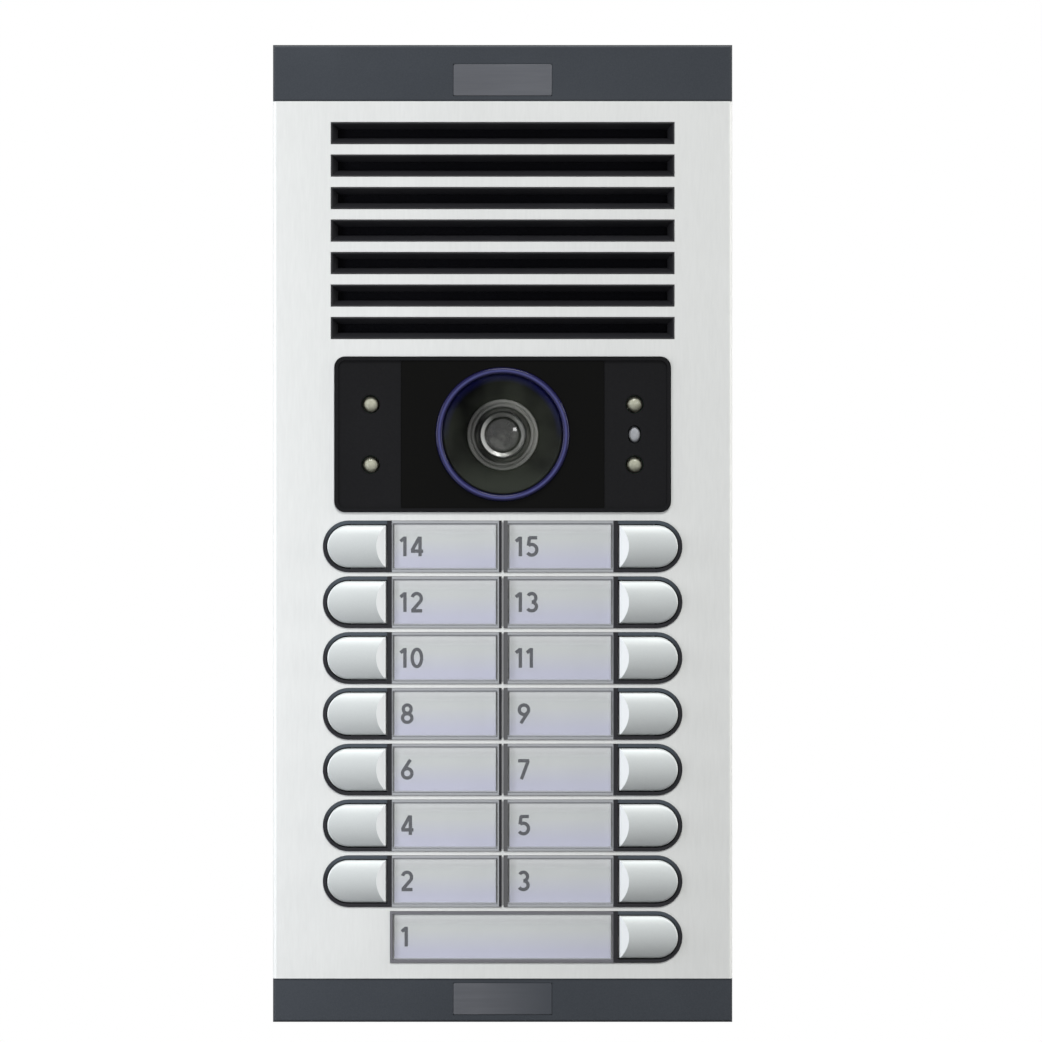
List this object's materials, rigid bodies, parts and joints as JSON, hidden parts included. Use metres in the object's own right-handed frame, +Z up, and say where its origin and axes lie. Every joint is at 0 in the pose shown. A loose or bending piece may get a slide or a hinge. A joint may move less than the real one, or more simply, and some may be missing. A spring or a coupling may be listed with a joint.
{
  "type": "video intercom door panel",
  "caption": "Slim wall-mounted video intercom door panel: louvred speaker grille, camera window, sprung call buttons and backlit name windows.",
  "frame": {"origin": "middle of the wall plate's rear face, on the wall", "axes": "+Z up, -Y out of the front, +X to the right seen from the front"},
  "size_m": [0.14, 0.0382, 0.2978],
  "materials": {
    "face_aluminium": "fine satin anodised",
    "cap_charcoal": "satin charcoal",
    "inlay_grey": "satin grey",
    "black_plastic": "fine matt",
    "gloss_black": "glossy",
    "ring_blue": "translucent blue",
    "clear_glass": "clear",
    "lens_metal": "black anodised, bright rim",
    "holder_grey": "satin grey",
    "button_silver": "satin silver",
    "name_clear": "clear",
    "card_grey": "printed with plain numbers",
    "opal": "opal",
    "rubber_black": "matt",
    "foam_grey": "closed cell foam",
    "board_green": "lacquered circuit board",
    "led_clear": "clear resin",
    "sensor_grey": "frosted light guide",
    "sensor_black": "chip package",
    "zinc_steel": "zinc plated",
    "speaker_steel": "black",
    "ferrite": "matt",
    "film": "thin film",
    "membrane_cloth": "fine acoustic cloth",
    "terminal_green": "satin"
  },
  "bodies": {
    "panel": {"face_profile": "face_aluminium", "top_end_cap": "cap_charcoal", "bottom_end_cap": "cap_charcoal", "top_inlay_plate": "inlay_grey", "bottom_inlay_plate": "inlay_grey", "louvre_grille": "black_plastic", "camera_bezel": "black_plastic", "button_carrier": "black_plastic", "speaker_mount": "black_plastic", "lens_funnel": "black_plastic", "lens_cover_plate": "gloss_black", "lens_ring": "ring_blue", "lens_window": "clear_glass", "lens_glass": "clear_glass", "lens_barrel": "lens_metal", "lens_holder": "holder_grey", "name_windows_left": "name_clear", "name_windows_right": "name_clear", "name_window_long": "name_clear", "name_cards": "card_grey", "backlight_diffuser": "opal", "rubber_keypad": "rubber_black", "mic_boot": "rubber_black", "cable_grommet": "rubber_black", "wall_gasket": "foam_grey", "main_board": "board_green", "camera_board": "board_green", "led_boards": "board_green", "illumination_leds": "led_clear", "backlight_leds": "led_clear", "light_sensor": "sensor_grey", "image_sensor": "sensor_black", "back_plate": "zinc_steel", "module_screws": "zinc_steel", "end_cap_screws": "zinc_steel", "locking_screw": "zinc_steel", "microphone": "zinc_steel", "speaker_basket": "speaker_steel", "speaker_magnet": "ferrite", "speaker_diaphragm": "film", "splash_membrane": "membrane_cloth", "terminal_block": "terminal_green"},
    "button_01": {"button_cap_01": "button_silver"},
    "button_02": {"button_cap_02": "button_silver"},
    "button_03": {"button_cap_03": "button_silver"},
    "button_04": {"button_cap_04": "button_silver"},
    "button_05": {"button_cap_05": "button_silver"},
    "button_06": {"button_cap_06": "button_silver"},
    "button_07": {"button_cap_07": "button_silver"},
    "button_08": {"button_cap_08": "button_silver"},
    "button_09": {"button_cap_09": "button_silver"},
    "button_10": {"button_cap_10": "button_silver"},
    "button_11": {"button_cap_11": "button_silver"},
    "button_12": {"button_cap_12": "button_silver"},
    "button_13": {"button_cap_13": "button_silver"},
    "button_14": {"button_cap_14": "button_silver"},
    "button_15": {"button_cap_15": "button_silver"}
  },
  "joints": [
    {"name": "button_01_travel", "type": "slide", "parent": "panel", "child": "button_01", "axis": [0, 1, 0], "range_m": [0, 0.0012], "stiffness_N_per_m": 600, "springref_m": -0.0015, "deforming": ["rubber_keypad"]},
    {"name": "button_02_travel", "type": "slide", "parent": "panel", "child": "button_02", "axis": [0, 1, 0], "range_m": [0, 0.0012], "stiffness_N_per_m": 600, "springref_m": -0.0015, "deforming": ["rubber_keypad"]},
    {"name": "button_03_travel", "type": "slide", "parent": "panel", "child": "button_03", "axis": [0, 1, 0], "range_m": [0, 0.0012], "stiffness_N_per_m": 600, "springref_m": -0.0015, "deforming": ["rubber_keypad"]},
    {"name": "button_04_travel", "type": "slide", "parent": "panel", "child": "button_04", "axis": [0, 1, 0], "range_m": [0, 0.0012], "stiffness_N_per_m": 600, "springref_m": -0.0015, "deforming": ["rubber_keypad"]},
    {"name": "button_05_travel", "type": "slide", "parent": "panel", "child": "button_05", "axis": [0, 1, 0], "range_m": [0, 0.0012], "stiffness_N_per_m": 600, "springref_m": -0.0015, "deforming": ["rubber_keypad"]},
    {"name": "button_06_travel", "type": "slide", "parent": "panel", "child": "button_06", "axis": [0, 1, 0], "range_m": [0, 0.0012], "stiffness_N_per_m": 600, "springref_m": -0.0015, "deforming": ["rubber_keypad"]},
    {"name": "button_07_travel", "type": "slide", "parent": "panel", "child": "button_07", "axis": [0, 1, 0], "range_m": [0, 0.0012], "stiffness_N_per_m": 600, "springref_m": -0.0015, "deforming": ["rubber_keypad"]},
    {"name": "button_08_travel", "type": "slide", "parent": "panel", "child": "button_08", "axis": [0, 1, 0], "range_m": [0, 0.0012], "stiffness_N_per_m": 600, "springref_m": -0.0015, "deforming": ["rubber_keypad"]},
    {"name": "button_09_travel", "type": "slide", "parent": "panel", "child": "button_09", "axis": [0, 1, 0], "range_m": [0, 0.0012], "stiffness_N_per_m": 600, "springref_m": -0.0015, "deforming": ["rubber_keypad"]},
    {"name": "button_10_travel", "type": "slide", "parent": "panel", "child": "button_10", "axis": [0, 1, 0], "range_m": [0, 0.0012], "stiffness_N_per_m": 600, "springref_m": -0.0015, "deforming": ["rubber_keypad"]},
    {"name": "button_11_travel", "type": "slide", "parent": "panel", "child": "button_11", "axis": [0, 1, 0], "range_m": [0, 0.0012], "stiffness_N_per_m": 600, "springref_m": -0.0015, "deforming": ["rubber_keypad"]},
    {"name": "button_12_travel", "type": "slide", "parent": "panel", "child": "button_12", "axis": [0, 1, 0], "range_m": [0, 0.0012], "stiffness_N_per_m": 600, "springref_m": -0.0015, "deforming": ["rubber_keypad"]},
    {"name": "button_13_travel", "type": "slide", "parent": "panel", "child": "button_13", "axis": [0, 1, 0], "range_m": [0, 0.0012], "stiffness_N_per_m": 600, "springref_m": -0.0015, "deforming": ["rubber_keypad"]},
    {"name": "button_14_travel", "type": "slide", "parent": "panel", "child": "button_14", "axis": [0, 1, 0], "range_m": [0, 0.0012], "stiffness_N_per_m": 600, "springref_m": -0.0015, "deforming": ["rubber_keypad"]},
    {"name": "button_15_travel", "type": "slide", "parent": "panel", "child": "button_15", "axis": [0, 1, 0], "range_m": [0, 0.0012], "stiffness_N_per_m": 600, "springref_m": -0.0015, "deforming": ["rubber_keypad"]}
  ]
}
